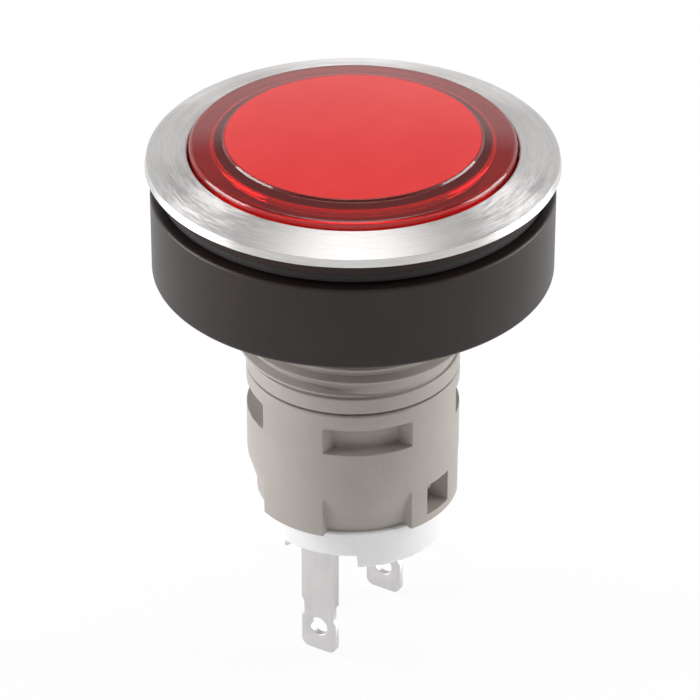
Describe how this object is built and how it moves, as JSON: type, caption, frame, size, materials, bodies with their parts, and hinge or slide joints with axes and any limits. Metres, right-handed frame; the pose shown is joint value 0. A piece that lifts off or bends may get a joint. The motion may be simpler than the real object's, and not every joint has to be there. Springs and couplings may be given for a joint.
{
  "type": "panel push button",
  "caption": "Round panel-mount push button with a steel bezel, a red lens cap, a deep ring nut on a threaded sleeve, a grey contact housing and flat solder tabs.",
  "frame": {"origin": "on the button's axis, in the plane of the panel's front face, which is the underside of the flange seal", "axes": "+Z along the axis towards the operator, Y square to the flat faces of the two tabs, X across the tabs' width"},
  "size_m": [0.028, 0.028, 0.0396],
  "materials": {
    "stainless_steel": "turned stainless steel with fine concentric lines",
    "black_plastic": "satin moulded polyamide",
    "nut_plastic": "satin moulded polyamide",
    "black_rubber": "matt nitrile rubber",
    "red_polycarbonate": "polished transparent polycarbonate, red right through",
    "milky_plastic": "milky diffuser film",
    "white_plastic": "satin white polyester",
    "grey_plastic": "fine satin warm grey polyamide",
    "washer_steel": "stamped zinc-plated steel",
    "bridge_brass": "stamped bronze strip",
    "spring_steel": "drawn spring wire",
    "tinned_brass": "stamped brass, matt tin plating",
    "contact_silver": "silver alloy rivet"
  },
  "bodies": {
    "casing": {"bezel_ring": "stainless_steel", "front_flange": "black_plastic", "flange_seal": "black_rubber", "wiper_seal": "black_rubber", "threaded_sleeve": "grey_plastic", "contact_housing": "grey_plastic", "terminal_base": "white_plastic", "terminal_blade_front": "tinned_brass", "terminal_blade_rear": "tinned_brass", "fixed_contact_front": "contact_silver", "fixed_contact_rear": "contact_silver", "return_spring": "spring_steel"},
    "button": {"lens_cap": "red_polycarbonate", "diffuser_disc": "milky_plastic", "lens_carrier": "white_plastic", "plunger": "white_plastic", "contact_carrier": "black_plastic", "contact_spring": "spring_steel"},
    "bridge": {"contact_bridge": "bridge_brass", "bridge_contact_front": "contact_silver", "bridge_contact_rear": "contact_silver"},
    "washer": {"lock_washer": "washer_steel"},
    "nut": {"ring_nut": "nut_plastic"}
  },
  "joints": [
    {"name": "button_press", "type": "slide", "parent": "casing", "child": "button", "axis": [0, 0, -1], "range_m": [0, 0.002], "stiffness_N_per_m": 700, "springref_m": -0.003, "deforming": ["return_spring"]},
    {"name": "bridge_lift", "type": "slide", "parent": "button", "child": "bridge", "axis": [0, 0, 1], "range_m": [0, 0.0007], "deforming": ["contact_spring"]},
    {"name": "nut_travel", "type": "slide", "parent": "casing", "child": "washer", "axis": [0, 0, -1], "range_m": [0, 0.006]},
    {"name": "nut_turn", "type": "hinge", "parent": "washer", "child": "nut", "pos_m": [0, 0, 0], "axis": [0, 0, -1], "range_deg": [0, 2160]}
  ],
  "couplings": [
    {"joint": "bridge_lift", "follows": "button_press", "ratio": 0.35},
    {"joint": "nut_travel", "follows": "nut_turn", "m_per_rad": 0.00015915}
  ]
}
